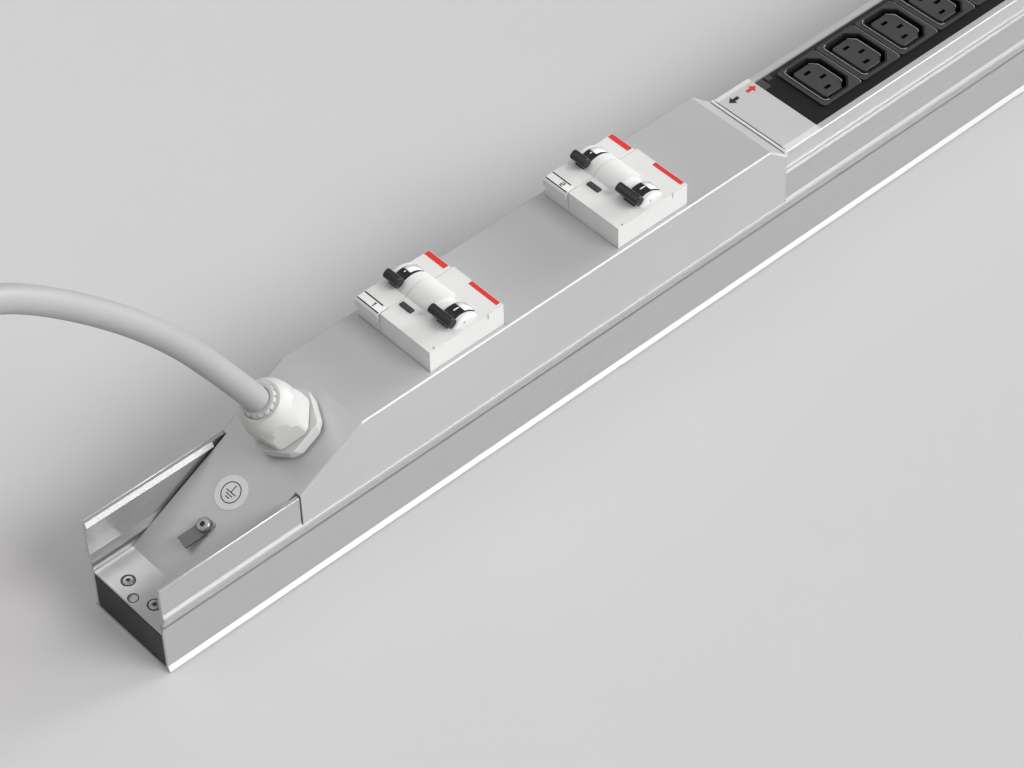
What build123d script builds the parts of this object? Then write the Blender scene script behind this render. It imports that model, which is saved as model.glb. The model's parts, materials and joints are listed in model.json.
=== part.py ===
from build123d import *
import math
import os

# Every size is in millimetres. Places along the rail are counted from its inlet end
# and turned into the part's own frame by at(): its origin is under the middle of the rail.

# Rail profile, seen along its length
wall_y = 28.0              # half the width over the upper walls
wall_thickness = 2.0
wall_top_z = 57.9
lower_side_inset = 1.8     # flat lower side, in from the upper wall's face
lower_wall_thickness = 1.4
foot_proud = 1.4           # sloped foot along the bottom edge
foot_top_z = 3.8
ridge_low_z = 32.2         # the ridge overhangs the lower side from here
ridge_proud = 1.2          # its sloped shoulder stands proud of the upper wall
ridge_top_z = 41.1
floor_thickness = 2.0
ledge_z = 39.4             # seat of the plug-in modules
ledge_thickness = 2.0
ledge_reach = 2.3
rib_half_width = 7.0       # thick rib along the floor, tapped for the mounting screws
rib_top_z = 7.6
screw_port_y = 16.9        # round ports for the end plates' screws
screw_port_z = 4.4
screw_port_wall = 1.6
port_bore_radius = 1.25
mounting_tap_radius = 2.5  # tapping size of M6
mounting_hole_inset = 70.0

# End plates
end_plate_thickness = 1.5
end_plate_gap = 0.3
end_plate_tab = 14.0       # bent tab under the box's flange, which the flange's screws go into
end_plate_bend = 2.0
end_screw_head = 1.7
end_screw_shank = 1.2

# Connection box, bent from sheet
sheet = 1.5
flange_z = 26.3
flange_length = 21.9
box_top_z = 79.7
slope_top_x = 118.0
box_side = 2.55            # from the breakers' row to the box's outer face
wall_cut_x = 79.5          # the upper walls are milled away from here
wall_cut_z = 40.0
corner_relief = 0.8
top_end_x = 378.5          # far fold of the top
box_end_x = 390.0
bevel_end_z = 70.4
walls_resume_gap = 0.4
slip = 0.2                 # sheet between the rail's walls
bend_radius = 1.2

# Screws of the flange, and its shallow empty hole over the end plate's tab
flange_screw_x = 8.0
flange_screw_y = 9.7
flange_screw_head = 3.15
flange_screw_shank = 1.9
empty_hole_x = 3.3
empty_hole_radius = 2.5

# Earth screw, tab and sign on the slope: distances along the slope from its lower fold
earth_screw_s = 28.9
earth_screw_y = 0.3
earth_washer = 7.4
earth_washer_height = 1.2
earth_head_radius = 3.45
earth_head_height = 2.0
earth_shank_radius = 2.4
earth_tab_width = 7.2
earth_tab_length = 12.9
earth_tab_thickness = 0.9
earth_tab_turn = 8.6
earth_sign_s = 47.8
earth_sign_y = 1.8
earth_sign_radius = 8.5

# Cable gland, M20
gland_s = 88.1
gland_bore_radius = 6.35
gland_thread_radius = 9.9
gland_neck_radius = 10.4
gland_hex_flats = 26.8
gland_nut_turn = -18.0     # the dome nut's corners, from the slope's line
gland_nut_corner = 15.1
gland_flange_flats = 31.0
gland_flange_corner = 17.4
gland_seal_radius = 8.6
gland_gasket = 1.4
gland_flange_height = 7.0
gland_dome_gap = 0.8
gland_dome_height = 23.0
gland_seal_height = 2.6
gland_thread_length = 11.0
locknut_height = 5.0

# Mains cable
cable_diameter = 12.5
coil_mean_radius = 63.7
coil_pitch = 12.7          # from turn to turn
coil_columns = 3
coil_rows = 2
coil_x = -262.0            # its middle, from the inlet end
coil_y = 52.8
plug_place = (-163.5, 106.0, 18.3)
plug_turn = -16.0          # its axis, from +X, on the floor
plug_tilt = 5.0            # it lies on its shroud, with the cable's end lower

# Circuit breakers: a one-module and a two-module unit side by side
breaker_start_x = 160.9
breaker_pitch = 117.7
breaker_count = 2
breaker_window = 45.0
breaker_length = 86.0
module_width = 17.2
breaker_front = 43.8       # front above the top-hat rail's face
breaker_back = 5.4         # housing below the top-hat rail's face
breaker_shoulder = 14.6    # shoulders below the front
window_gap = 0.35
unit_gap = 0.1
one_module_width = 16.0    # the one-module unit is a little narrower and shorter
one_module_short = 1.2

# Toggles turn about one axis across the breaker
toggle_axis_x = 2.0        # from the breaker's middle
toggle_axis_drop = 6.9     # below the front
drum_radius = 10.7
drum_gap = 0.3
hump_radius = 11.1
hump_split_large_y = -6.75 # the hump's step down to the shoulder, on each unit
hump_split_small_y = 14.4
hump_overlap = 0.4
shoulder_radius = 9.4      # lower step of the hump beside the large toggle
collar_radius = 10.2       # round collar at the outer side of each drum
collar_length = 3.4
collar_round = 1.6
collar_hole = 0.6
collar_hole_x = -0.8
collar_hole_y = -22.4
bar_inner_radius = 11.6
bar_outer_radius = 17.0
bar_thickness = 5.0
toggle_lean = 34.0         # from upright, towards the inlet
trunnion_radius = 1.5
trunnion_length = 1.6
trunnion_fit = 0.06

# Test button
button_x = -11.2
button_y = 2.9
button_length = 2.6
button_width = 7.6
button_proud = 1.2
button_depth = 5.0
button_travel = 1.0
button_gap = 0.15

# Lead-seal hole and slot of the two-module unit, near its outer edge
seal_hole_x = -19.1
seal_hole_y = -24.6
seal_hole_radius = 0.6
side_slot_x = 13.0
side_slot = (0.8, 0.7, 3.0)

# Marker clip on the one-module unit
marker_out = 1.9
marker_length = 6.9
marker_drop = 4.8
marker_thickness = 1.4

# Top-hat rail, 35 mm, and its bracket
hat_width = 35.0
hat_height = 7.5
hat_thickness = 1.0
hat_base_width = 27.0
bracket_thickness = 1.0
bracket_length = 60.0

# Busbar carrier and bars
carrier_start_x = 262.0
carrier_half_width = 23.0
carrier_base = 3.0
carrier_wall = 1.6
carrier_top_z = 31.6
bar_pitch = 8.0
bar_width_y = 2.0
bar_height = 16.0
bar_groove = 1.0
bar_fit = 0.1
bar_names = ("line_1_bar", "neutral_1_bar", "earth_bar", "neutral_2_bar", "line_2_bar")

# Terminal block for the incoming cable
terminal_x = 118.0
terminal_length = 30.0
terminal_poles = 5
terminal_pole_pitch = 7.2
terminal_height = 24.0

# Plug-in socket modules
module_start_x = 390.8
module_pitch = 248.4
module_gap = 0.6
module_count = 3
module_half_width = 25.75
module_rest_gap = 0.3
module_lip_z = 69.8
module_wall = 1.6
module_lip_width = 3.75
module_lip_thickness = 1.2
module_lip_round = 0.8
cap_length = 25.6
cap_plate_z = 70.6
cap_wall = 2.0
cap_side_inset = 0.6
strip_gap = 0.15
strip_top_drop = 0.4
strip_floor_drop = 1.4     # blank first stretch and the channels beside the outlet tiles
end_margin = 4.8           # rail left beyond the last module

# Outlets, IEC 60320 sheet F
outlet_count = 6
outlet_pitch = 28.08
outlet_first = 53.2        # first outlet's middle from the module's end
outlet_y = 2.1
recess_length_x = 20.0
recess_width_y = 28.0
recess_depth = 15.5
recess_corner = 5.0
tongue_length_x = 16.0
tongue_width_y = 24.0
tongue_corner = 4.0
tongue_drop = 0.8
tongue_chamfer = 0.6
tile_length_x = 27.4       # raised tile round each outlet
tile_width_y = 34.0
tile_corner = 2.0
rim_width = 0.9
rim_height = 0.4
slot_wide = 4.0
slot_narrow = 2.0
slot_depth = 12.0
pole_slot_dx = -1.33
pole_slot_y = 7.0
earth_slot_dx = 2.67

# Contacts under each module
contact_inset = 95.0       # from the module's inlet end
contact_length = 14.0
contact_blade = 0.8
contact_gap = 0.15
contact_low_z = 18.0
contact_top_z = 33.4
contact_web = 2.0
contact_tower_margin = 3.0
contact_window_gap = 0.4

# Values that follow
rail_length = module_start_x + module_pitch * module_count + end_margin
slope_rise = box_top_z - flange_z
slope_run = slope_top_x - flange_length
slope_angle = math.degrees(math.atan2(slope_rise, slope_run))
bevel_angle = math.degrees(math.atan2(box_top_z - bevel_end_z, box_end_x - top_end_x))
ridge_y = wall_y + ridge_proud
lower_y = wall_y - lower_side_inset
foot_y = lower_y + foot_proud
inner_upper_y = wall_y - wall_thickness
inner_lower_y = lower_y - lower_wall_thickness
tongue_y = inner_lower_y - slip
box_width = 3 * module_width + 2 * box_side
hat_top_z = wall_cut_z + bracket_thickness + hat_height
breaker_front_z = hat_top_z + breaker_front
toggle_z = breaker_front_z - toggle_axis_drop
unit_split_y = 1.5 * module_width - module_width
row_far_y = unit_split_y + one_module_width


def at(x):
    """Place along the rail, from its inlet end, in the part's own frame."""
    return x - rail_length / 2


def block(x0, x1, y0, y1, z0, z1):
    """A box between two corners."""
    middle = ((x0 + x1) / 2, (y0 + y1) / 2, (z0 + z1) / 2)
    return Pos(*middle) * Box(x1 - x0, y1 - y0, z1 - z0)


def along_x(points, x0, x1):
    """Extrude an outline of (y, z) points along the rail."""
    face = make_face(Polyline(*points, close=True))
    return extrude(Plane.YZ.offset(x0) * face, x1 - x0)


def along_y(points, y0, y1):
    """Extrude an outline of (x, z) points across the rail."""
    face = make_face(Polyline(*points, close=True))
    return extrude(Plane.XZ.offset(-y1) * face, y1 - y0)


def mirrored(points):
    """Close a half outline, given from the bottom middle outwards and up, over the middle plane."""
    return points + [(-y, z) for y, z in reversed(points)]


def rod(radius, length, place):
    """A cylinder that starts at a place and runs along its normal."""
    return place * Pos(0, 0, length / 2) * Cylinder(radius, length)


def hexagon(flats, height):
    """A hexagon prism standing on its base plane."""
    return extrude(RegularPolygon(flats / 2, 6, major_radius=False), height)


def save(shape, name):
    export_step(shape, os.path.join("parts", name + ".step"))


def slope_place(s, y, height=0.0):
    """A frame on the slope's outer face: X up the slope, Z away from it."""
    angle = math.radians(slope_angle)
    along = Vector(math.cos(angle), 0, math.sin(angle))
    normal = Vector(-math.sin(angle), 0, math.cos(angle))
    start = Vector(at(flange_length), y, flange_z)
    return Location(Plane(origin=start + along * s + normal * height, x_dir=along, z_dir=normal))


def end_place(end, y, z, depth=0.0):
    """A frame on an end of the rail, looking into it: end is 0 at the inlet and 1 at the far end."""
    inward = 1 if end == 0 else -1
    x = at(0 if end == 0 else rail_length) + inward * depth
    return Location(Plane(origin=(x, y, z), x_dir=(0, 1, 0), z_dir=(inward, 0, 0)))


# Rail

def rail_outline():
    groove_z = (ridge_low_z + ridge_top_z) / 2
    side = [
        (0, 0), (foot_y - 0.8, 0), (foot_y, 0.8), (foot_y, 1.3), (lower_y, foot_top_z),
        (lower_y, ridge_low_z), (wall_y + 0.2, ridge_low_z + 1.4), (wall_y + 0.2, groove_z - 1.2),
        (wall_y - 0.4, groove_z - 0.9), (wall_y - 0.4, groove_z - 0.3), (ridge_y - 0.5, groove_z),
        (ridge_y, groove_z + 0.6), (ridge_y, ridge_top_z - 2.6), (ridge_y - 0.3, ridge_top_z - 1.8),
        (wall_y, ridge_top_z), (wall_y, wall_top_z),
    ]
    inside = [
        (inner_upper_y, wall_top_z), (inner_upper_y, ledge_z), (inner_lower_y - ledge_reach, ledge_z),
        (inner_lower_y - ledge_reach, ledge_z - ledge_thickness),
        (inner_lower_y, ledge_z - ledge_thickness), (inner_lower_y, floor_thickness),
        (rib_half_width, floor_thickness), (rib_half_width, rib_top_z),
    ]
    half = side + inside
    return half + [(-y, z) for y, z in reversed(half[1:])]


def mounting_holes():
    return [mounting_hole_inset, rail_length - mounting_hole_inset]


def rail_profile():
    x0, x1 = at(0), at(rail_length - end_plate_thickness)
    rail = along_x(rail_outline(), x0, x1)
    for side in (-1, 1):
        port = Plane.YZ.offset(x0) * Pos(side * screw_port_y, screw_port_z)
        rail += extrude(port * Circle(port_bore_radius + screw_port_wall), x1 - x0)
        rail -= extrude(port * Circle(port_bore_radius), x1 - x0)
    cut_end = at(box_end_x + walls_resume_gap)
    for side in (-1, 1):
        y0, y1 = sorted((side * (inner_lower_y - ledge_reach - 1), side * (ridge_y + 1)))
        rail -= block(at(wall_cut_x), cut_end, y0, y1, wall_cut_z, wall_top_z + 1)
    rail -= block(x0 - 1, cut_end, -inner_lower_y, inner_lower_y, ridge_low_z, wall_cut_z + 1)
    smooth_wall = [(inner_lower_y, ridge_low_z), (inner_upper_y, ledge_z - 3), (inner_upper_y, ledge_z + 1)]
    rail -= along_x(mirrored(smooth_wall), x0 - 1, at(wall_cut_x))
    rail -= block(x0 - 1, at(end_plate_thickness), -inner_lower_y, inner_lower_y, floor_thickness, flange_z)
    for x in mounting_holes():
        rail -= Pos(at(x), 0, rib_top_z / 2) * Cylinder(mounting_tap_radius, rib_top_z + 2)
    return rail


def end_screw_holes(plate, end):
    for y in (-screw_port_y, screw_port_y):
        plate -= end_place(end, y, screw_port_z) * Pos(0, 0, end_plate_thickness / 2) * Cylinder(
            end_screw_shank + 0.1, end_plate_thickness + 1)
        plate -= end_place(end, y, screw_port_z) * Pos(0, 0, 0.4) * Cone(
            end_screw_head + 0.1, end_screw_shank + 0.1, 0.8)
    return plate


def inlet_end_plate():
    """Set between the rail's walls, with a tab bent in under the box's flange."""
    half = inner_lower_y - slip
    top = flange_z - sheet
    x0, x1 = at(0), at(end_plate_thickness)
    plate = block(x0, x1, -half, half, floor_thickness + 0.1, top)
    tab_half = half - 2.0
    plate += block(x0, x0 + end_plate_tab, -tab_half, tab_half, top - end_plate_thickness, top)
    bent = plate.edges().filter_by(Axis.Y).sort_by(lambda e: e.center().X - e.center().Z)[0]
    plate = fillet(bent, end_plate_bend)
    for y in (-flange_screw_y, flange_screw_y):
        plate -= Pos(at(flange_screw_x), y, top) * Cylinder(flange_screw_shank, 4 * end_plate_thickness)
    return end_screw_holes(plate, 0)


def far_end_plate():
    x1 = at(rail_length)
    outline = mirrored([
        (lower_y - 1.0, end_plate_gap), (lower_y - 0.2, 1.1), (lower_y - 0.2, ridge_low_z),
        (wall_y - 0.2, ridge_low_z + 1.6), (wall_y - 0.2, wall_top_z - end_plate_gap),
    ])
    return end_screw_holes(along_x(outline, x1 - end_plate_thickness, x1), 1)


def end_plate_screws(end):
    screws = []
    for y in (-screw_port_y, screw_port_y):
        place = end_place(end, y, screw_port_z)
        screw = place * Pos(0, 0, 0.45) * Cone(end_screw_head, end_screw_shank, 0.7)
        screw += rod(end_screw_shank, 9.0, end_place(end, y, screw_port_z, 0.4))
        screw -= rod(0.7, 0.6, place)
        screws.append(screw)
    return screws


# Connection box

def bend(corner, turn, drop):
    """Inner corner of a bend: turn is the change of direction, upwards positive."""
    return (corner[0] + drop * math.tan(math.radians(turn / 2)), corner[1] - drop)


def slope_z(x, drop=0.0):
    return flange_z + (x - flange_length) * math.tan(math.radians(slope_angle)) - drop


def connection_box():
    fold_low = (flange_length, flange_z)
    fold_top = (slope_top_x, box_top_z)
    fold_far = (top_end_x, box_top_z)
    start = wall_cut_x + corner_relief
    sloped_drop = sheet / math.cos(math.radians(slope_angle))
    bevel_drop = sheet / math.cos(math.radians(bevel_angle))
    outer = [
        (start, wall_cut_z), (start, slope_z(start)), fold_top, fold_far, (box_end_x, bevel_end_z),
        (box_end_x, wall_cut_z),
    ]
    low_inside_z = bevel_end_z - bevel_drop + sheet * math.tan(math.radians(bevel_angle))
    inner = [
        (start - 1, wall_cut_z - 1), (start - 1, slope_z(start - 1, sloped_drop)),
        bend(fold_top, slope_angle, sheet), bend(fold_far, -bevel_angle, sheet),
        (box_end_x - sheet, low_inside_z), (box_end_x - sheet, wall_cut_z - 1),
    ]
    half = box_width / 2
    shell = along_y([(at(x), z) for x, z in outer], -half, half)
    edges = [e for e in shell.edges() if abs(abs(e.center().Y) - half) < 0.01
             and e.center().Z > wall_cut_z + sheet and abs(e.tangent_at(0.5).X) > 0.5]
    shell = fillet(edges, bend_radius)
    shell -= along_y([(at(x), z) for x, z in inner], -half + sheet, half - sheet)
    tongue = [
        (0, flange_z), fold_low, (start + 2, slope_z(start + 2)),
        (start + 2, slope_z(start + 2, sloped_drop)), bend(fold_low, slope_angle, sheet),
        (0, flange_z - sheet),
    ]
    box = shell + along_y([(at(x), z) for x, z in tongue], -tongue_y, tongue_y)
    for y in (-flange_screw_y, flange_screw_y):
        box -= Pos(at(flange_screw_x), y, flange_z) * Cylinder(flange_screw_shank + 0.1, 4 * sheet)
    box -= Pos(at(empty_hole_x), 0, flange_z) * Cylinder(empty_hole_radius, 2 * sheet)
    box -= rod(earth_shank_radius + 0.1, 4 * sheet, slope_place(earth_screw_s, earth_screw_y, -2 * sheet))
    box -= rod(gland_thread_radius + 0.2, 4 * sheet, slope_place(gland_s, 0, -2 * sheet))
    gap = window_gap
    for n in range(breaker_count):
        x0 = at(breaker_start_x + n * breaker_pitch)
        box -= block(x0 - gap, x0 + breaker_window + gap, -1.5 * module_width - gap,
                     unit_split_y, box_top_z - 3, box_top_z + 1)
        box -= block(x0 - gap, x0 + breaker_window - one_module_short + gap, unit_split_y - 1,
                     row_far_y + gap, box_top_z - 3, box_top_z + 1)
    return box


def flange_screws():
    screws = []
    for y in (-flange_screw_y, flange_screw_y):
        place = Location((at(flange_screw_x), y, flange_z))
        head = place * Pos(0, 0, 0.9) * Cylinder(flange_screw_head, 1.8)
        head = fillet(head.edges().group_by(Axis.Z)[-1], 0.9)
        head += place * Pos(0, 0, -2.5) * Cylinder(flange_screw_shank, 5.0)
        head -= place * Pos(0, 0, 0.9) * hexagon(2.0, 2.0)
        screws.append(head)
    return Compound(screws)


def earth_washer_piece():
    place = slope_place(earth_screw_s, earth_screw_y)
    plate = place * Pos(0, 0, earth_washer_height / 2) * Box(
        earth_washer, earth_washer, earth_washer_height)
    plate = chamfer(plate.edges().filter_by(lambda e: e.length < 2), 0.8)
    return plate - rod(earth_shank_radius + 0.1, 3, slope_place(earth_screw_s, earth_screw_y, -0.5))


def earth_tab():
    place = slope_place(earth_screw_s, earth_screw_y, earth_washer_height)
    turn = Rot(0, 0, 180 - earth_tab_turn)
    reach, t = earth_tab_length, earth_tab_thickness
    outline = [(0, 0), (5.2, 0), (reach, 2.6), (reach, 2.6 + t), (4.9, t), (0, t)]
    tab = along_y(outline, -earth_tab_width / 2, earth_tab_width / 2)
    tab += Pos(0, 0, t / 2) * Cylinder(earth_tab_width / 2, t)
    tab -= Cylinder(earth_shank_radius + 0.1, 4)
    return place * turn * tab


def earth_screw():
    base = earth_washer_height + earth_tab_thickness
    place = slope_place(earth_screw_s, earth_screw_y, base)
    head = place * Pos(0, 0, earth_head_height / 2) * Cylinder(earth_head_radius, earth_head_height)
    head = fillet(head.edges().filter_by(GeomType.CIRCLE).sort_by(lambda e: -e.center().Z)[0], 0.8)
    head += rod(earth_shank_radius, 9.0 + base, slope_place(earth_screw_s, earth_screw_y, -9.0))
    return head - place * Pos(0, 0, earth_head_height / 2) * hexagon(2.4, 2.0)


def earth_nut():
    place = slope_place(earth_screw_s, earth_screw_y, -sheet - 4.0)
    return place * (hexagon(8.0, 4.0) - Pos(0, 0, 2) * Cylinder(earth_shank_radius + 0.05, 5))


def earth_sign():
    return rod(earth_sign_radius, 0.3, slope_place(earth_sign_s, earth_sign_y))


# Cable gland, along its own axis: Z is the height above the slope

def gland_body():
    body = Pos(0, 0, gland_gasket) * hexagon(gland_flange_flats, gland_flange_height)
    cone = Cone(gland_flange_corner - 1.0, gland_flange_corner, gland_flange_height)
    body = body & Pos(0, 0, gland_gasket + gland_flange_height / 2) * cone
    body += Pos(0, 0, (gland_gasket - gland_thread_length) / 2) * Cylinder(
        gland_thread_radius, gland_gasket + gland_thread_length)
    neck_top = gland_gasket + gland_flange_height + 7.0
    body += Pos(0, 0, (gland_gasket + neck_top) / 2) * Cylinder(
        gland_neck_radius, neck_top - gland_gasket)
    bore = gland_bore_radius + 0.6
    return body - Pos(0, 0, 5) * Cylinder(bore, 60)


def gland_dome_nut():
    low = gland_gasket + gland_flange_height + gland_dome_gap
    high = low + gland_dome_height
    corner = gland_nut_corner
    shoulder = gland_hex_flats / 2 + 0.5
    mouth = gland_seal_radius + 1.6
    hexes = Pos(0, 0, low) * Rot(0, 0, gland_nut_turn) * hexagon(gland_hex_flats, gland_dome_height)
    profile = Polyline((0, low), (corner - 0.5, low), (corner, low + 1.0), (corner, low + 9.5),
                       (shoulder, low + 11.5))
    crown = ThreePointArc((shoulder, low + 11.5), (shoulder - 0.8, low + 18.2), (mouth, high))
    closing = Polyline((mouth, high), (0, high), (0, low))
    form = revolve(Plane.XZ * make_face([*profile.edges(), crown, *closing.edges()]), Axis.Z)
    dome = hexes & form
    dome -= Pos(0, 0, low + 3.5) * Cylinder(gland_neck_radius + 0.3, 7.6)
    return dome - Pos(0, 0, high) * Cylinder(gland_seal_radius + 0.2, 80)


def gland_seal():
    low = gland_gasket + gland_flange_height + 7.6
    high = gland_gasket + gland_flange_height + gland_dome_gap + gland_dome_height + gland_seal_height
    seal = Pos(0, 0, (low + high) / 2) * Cylinder(gland_seal_radius, high - low)
    seal = fillet(seal.edges().filter_by(GeomType.CIRCLE).sort_by(Axis.Z)[-1], 0.9)
    seal -= Pos(0, 0, high) * Cylinder(gland_bore_radius, 80)
    for n in range(16):
        groove = Pos(gland_seal_radius + 0.1, 0, high - 1.0) * Box(1.4, 1.0, 2.4)
        seal -= Rot(0, 0, n * 360 / 16) * groove
    return seal


def gland_ring(outer, inner, low, high):
    ring = Pos(0, 0, (low + high) / 2) * Cylinder(outer, high - low)
    return ring - Pos(0, 0, (low + high) / 2) * Cylinder(inner, high - low + 1)


def gland_locknut():
    place = Pos(0, 0, -sheet - locknut_height)
    nut = place * hexagon(24.0, locknut_height)
    return nut - Pos(0, 0, -sheet) * Cylinder(gland_thread_radius + 0.05, 20)


def save_gland():
    place = slope_place(gland_s, 0)
    gasket = gland_ring(14.0, gland_thread_radius + 0.2, 0, gland_gasket)
    pieces = {
        "gland_body": gland_body(), "gland_dome_nut": gland_dome_nut(), "gland_seal": gland_seal(),
        "gland_gasket": gasket, "gland_locknut": gland_locknut(),
    }
    for name, piece in pieces.items():
        save(place * piece, name)


# Mains cable: along the gland's axis, over in an arch, down to the floor and into its coil.
# The points are places from the inlet end.

cable_start_height = -14.0
cable_lead_height = 60.0
cable_points = [
    (36.0, 0.0, 174.9), (-7.0, 0.0, 221.4), (-44.0, -0.5, 250.4), (-83.5, -1.0, 256.7),
    (-120.8, -2.0, 242.4), (-146.0, -3.5, 211.3), (-154.5, -6.0, 170.0), (-158.5, -10.0, 119.0),
    (-161.0, -15.0, 72.0), (-184.0, -20.0, 37.5), (-222.0, -23.5, 20.5), (-262.0, -23.6, 18.9),
]
tail_points = [(-262.0, 129.2, 6.6), (-232.0, 127.5, 8.0), (-200.0, 116.5, 15.0)]


def tube(points, radius, label):
    """A tube of straight runs joined by arcs as large as the runs allow."""
    radii = []
    for before, corner, after in zip(points, points[1:], points[2:]):
        run_in, run_out = corner - before, after - corner
        turn = math.radians(run_in.get_angle(run_out))
        radii.append(0.45 * min(run_in.length, run_out.length) / math.tan(turn / 2))
    path = FilletPolyline(*points, radius=radii)
    section = Plane(origin=path @ 0, z_dir=path % 0) * Circle(radius)
    piece = sweep(section, path=path)
    ideal = math.pi * radius ** 2 * path.length
    print(label, "length", round(path.length, 1), "volume over section times length",
          round(piece.volume / ideal, 4), "radii", [round(r) for r in radii])
    return piece


def mains_cable():
    start = slope_place(gland_s, 0, cable_start_height).position
    lead = slope_place(gland_s, 0, cable_lead_height).position
    points = [start, lead] + [Vector(at(x), y, z) for x, y, z in cable_points]
    return tube(points, cable_diameter / 2, "mains cable")


def cable_coil():
    width = (coil_columns - 1) * coil_pitch + cable_diameter
    height = coil_rows * cable_diameter
    section = Plane.XZ * Pos(coil_mean_radius, height / 2) * RectangleRounded(width, height, 5.0)
    return Pos(at(coil_x), coil_y, 0) * revolve(section, Axis.Z)


def cable_tail():
    points = [Vector(at(x), y, z) for x, y, z in tail_points + [plug_place]]
    return tube(points, cable_diameter / 2, "cable tail")


def save_plug():
    x, y, z = plug_place
    turn, tilt = math.radians(plug_turn), math.radians(plug_tilt)
    level = math.cos(tilt)
    axis = (math.cos(turn) * level, math.sin(turn) * level, math.sin(tilt))
    sideways = (-math.sin(turn), math.cos(turn), 0)
    place = Location(Plane(origin=(at(x), y, z), x_dir=sideways, z_dir=axis))
    nut_length, body_length, shroud_length = 24.0, 46.0, 44.0
    nut = Pos(0, 0, nut_length / 2) * Cone(12.0, 17.0, nut_length)
    body = Pos(0, 0, nut_length + body_length / 2) * Cone(18.5, 23.0, body_length)
    shroud_low = nut_length + body_length
    shroud = gland_ring(24.0, 21.0, shroud_low, shroud_low + shroud_length)
    shroud += Pos(0, 0, shroud_low + 6.0) * Cylinder(22.0, 12.0)
    shroud += Pos(0, 23.0, shroud_low + shroud_length / 2) * Box(6.0, 2.8, shroud_length)
    pins = []
    for n in range(5):
        pin_radius = 3.0 if n == 0 else 2.5
        angle = math.radians(90 + 72 * n)
        spot = Pos(13.0 * math.cos(angle), 13.0 * math.sin(angle), shroud_low + 12.0 + 13.0)
        pins.append(place * spot * Cylinder(pin_radius, 26.0))
    save(place * nut, "plug_cable_nut")
    save(place * body, "plug_body")
    save(place * shroud, "plug_shroud")
    save(Compound(pins), "plug_pins")


# Circuit breakers

def breaker_middle(n):
    return at(breaker_start_x + n * breaker_pitch + breaker_window / 2)


def housing_outline(middle, short):
    """Side view of a unit; short is taken off its front at the far end."""
    half_window = breaker_window / 2
    half = breaker_length / 2
    back = hat_top_z - breaker_back
    shoulder = breaker_front_z - breaker_shoulder
    notch = hat_width / 2 + 0.2
    hook = notch - 1.4
    low = hat_top_z - hat_thickness - 0.1
    outline = [
        (-half, back), (-hook, back), (-hook, low - 0.8), (-notch, low), (-notch, hat_top_z),
        (notch, hat_top_z), (notch, low), (hook, low - 0.8), (hook, back), (half, back),
        (half, shoulder), (half_window - short, shoulder), (half_window - short, breaker_front_z),
        (-half_window, breaker_front_z), (-half_window, shoulder), (-half, shoulder),
    ]
    return [(middle + x, z) for x, z in outline]


def across(radius, x, z, y0, y1):
    """A cylinder across the breaker."""
    return Pos(x, (y0 + y1) / 2, z) * Rot(90, 0, 0) * Cylinder(radius, y1 - y0)


def toggle_spans(large):
    """Bar and drum spans in y of the small and the large toggle."""
    if large:
        return (-23.1, -8.4), (-19.4, -12.4)
    return (13.2, 22.8), (16.0, 21.2)


def drum_collar(pivot_x, inner_y, outward):
    """Round collar beside a drum; its outer edge is rounded."""
    y0, y1 = sorted((inner_y, inner_y + outward * collar_length))
    collar = across(collar_radius, pivot_x, toggle_z, y0, y1)
    rim = collar.edges().filter_by(GeomType.CIRCLE).sort_by(Axis.Y)[-1 if outward > 0 else 0]
    return fillet(rim, collar_round)


def breaker_housing(n, large):
    middle = breaker_middle(n)
    pivot_x = middle + toggle_axis_x
    drum = toggle_spans(large)[1]
    if large:
        y0, y1 = -1.5 * module_width, unit_split_y - unit_gap
        housing = along_y(housing_outline(middle, 0), y0, y1)
        split = hump_split_large_y
        housing += across(hump_radius, pivot_x, toggle_z, split, y1)
        housing += across(shoulder_radius, pivot_x, toggle_z, drum[1], split + hump_overlap)
        housing += drum_collar(pivot_x, drum[0], -1)
    else:
        y0, y1 = unit_split_y + unit_gap, row_far_y
        housing = along_y(housing_outline(middle, one_module_short), y0, y1)
        split = hump_split_small_y
        housing += across(hump_radius, pivot_x, toggle_z, y0, split)
        housing += across(shoulder_radius, pivot_x, toggle_z, split - hump_overlap, drum[0])
        housing += drum_collar(pivot_x, drum[1], 1)
    housing -= across(drum_radius + drum_gap, pivot_x, toggle_z, drum[0] - drum_gap, drum[1] + drum_gap)
    reach = trunnion_length + 0.4
    housing -= across(trunnion_radius + trunnion_fit, pivot_x, toggle_z, drum[0] - reach, drum[1] + reach)
    if large:
        x = middle + button_x
        depth = button_depth + button_travel + 0.3
        housing -= block(x - button_length / 2 - button_gap, x + button_length / 2 + button_gap,
                         button_y - button_width / 2 - button_gap,
                         button_y + button_width / 2 + button_gap,
                         breaker_front_z - depth, breaker_front_z + 1)
        housing -= Pos(middle + seal_hole_x, seal_hole_y, breaker_front_z) * Cylinder(seal_hole_radius, 5)
        housing -= Pos(middle + side_slot_x, y0, breaker_front_z) * Box(
            side_slot[0], 2 * side_slot[1], 2 * side_slot[2])
        housing -= Pos(pivot_x + collar_hole_x, collar_hole_y, breaker_front_z + 1) * Rot(
            90, 0, 0) * Cylinder(collar_hole, 6)
    else:
        front = middle - breaker_window / 2
        housing -= block(front - 1, front + marker_length - marker_out, y0 - 1, y1 + 1,
                         breaker_front_z - marker_thickness, breaker_front_z + 1)
    return housing


def marker_clip(n):
    front = breaker_middle(n) - breaker_window / 2
    x0, x1 = front - marker_out, front + marker_length - marker_out
    z0, z1 = breaker_front_z - marker_drop, breaker_front_z
    outline = [(x0, z0), (front, z0), (front, z1 - marker_thickness), (x1, z1 - marker_thickness),
               (x1, z1), (x0 + 0.8, z1), (x0, z1 - 0.8)]
    return along_y(outline, unit_split_y + 0.4, row_far_y - 0.1)


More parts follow.
